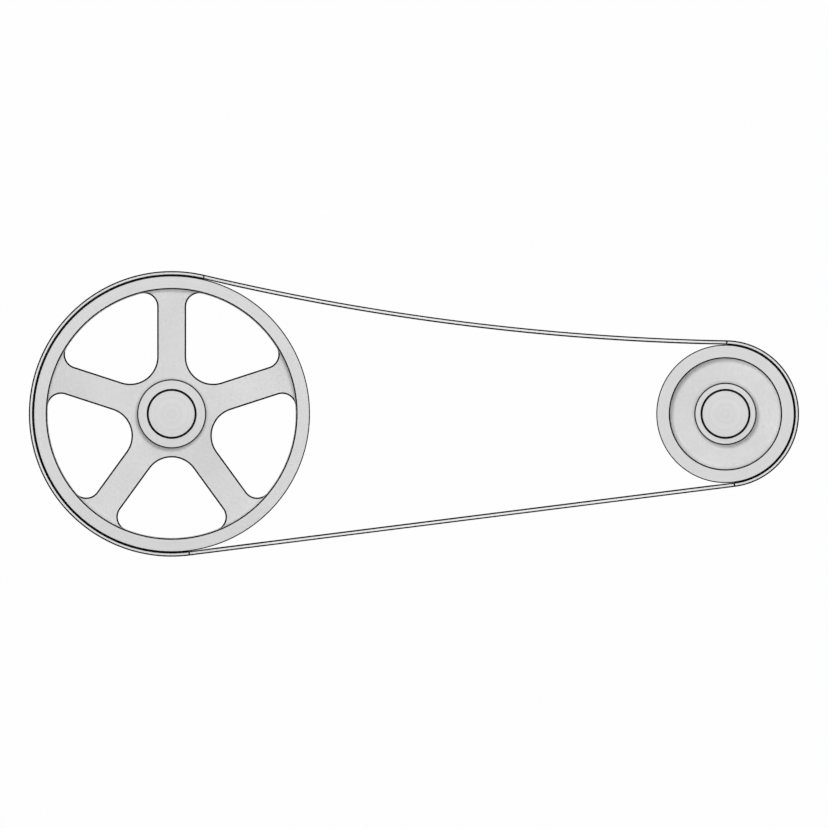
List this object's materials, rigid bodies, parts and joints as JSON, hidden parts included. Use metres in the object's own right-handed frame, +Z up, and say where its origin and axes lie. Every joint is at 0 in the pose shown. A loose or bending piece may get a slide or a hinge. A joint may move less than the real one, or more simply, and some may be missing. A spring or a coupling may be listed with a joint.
{
  "type": "flat belt drive",
  "caption": "Flat belt drive: a smooth laminated belt runs over a large five-arm pulley and a small disc pulley, each keyed to a stub shaft with a bearing journal behind.",
  "frame": {"origin": "on the large pulley's shaft axis, at the shoulder where the hub ends and the journal begins", "axes": "+X along the line of centres to the small pulley, +Y along the shafts to the journals' free ends, away from the front, +Z up"},
  "size_m": [0.5564, 0.1285, 0.2064],
  "materials": {
    "pulley_iron": "satin light grey paint, with bare machined edges",
    "shaft_steel": "satin ground steel",
    "key_steel": "satin drawn steel",
    "screw_steel": "matte black oxide",
    "belt_core": "matte light grey tension layer",
    "belt_friction_rubber": "matte fine fabric grain",
    "belt_cover_rubber": "matte fine fabric grain"
  },
  "bodies": {
    "belt": {"driven_wrap_friction_ply": "belt_friction_rubber", "driven_wrap_core_ply": "belt_core", "driven_wrap_cover_ply": "belt_cover_rubber", "slack_span_friction_ply": "belt_friction_rubber", "slack_span_core_ply": "belt_core", "slack_span_cover_ply": "belt_cover_rubber", "driver_wrap_friction_ply": "belt_friction_rubber", "driver_wrap_core_ply": "belt_core", "driver_wrap_cover_ply": "belt_cover_rubber", "tight_span_friction_ply": "belt_friction_rubber", "tight_span_core_ply": "belt_core", "tight_span_cover_ply": "belt_cover_rubber"},
    "driven_wheel": {"driven_pulley": "pulley_iron", "driven_shaft": "shaft_steel", "driven_key": "key_steel", "driven_key_screw": "screw_steel", "driven_lock_screw": "screw_steel"},
    "driver_wheel": {"driver_pulley": "pulley_iron", "driver_shaft": "shaft_steel", "driver_key": "key_steel", "driver_key_screw": "screw_steel", "driver_lock_screw": "screw_steel"}
  },
  "joints": [
    {"name": "driven_spin", "type": "hinge", "parent": "belt", "child": "driven_wheel", "pos_m": [0, 0, 0], "axis": [0, 1, 0], "continuous": true},
    {"name": "driver_spin", "type": "hinge", "parent": "belt", "child": "driver_wheel", "pos_m": [0.4, 0, 0], "axis": [0, 1, 0], "continuous": true}
  ],
  "couplings": [
    {"joint": "driver_spin", "follows": "driven_spin", "ratio": 1.9709}
  ]
}
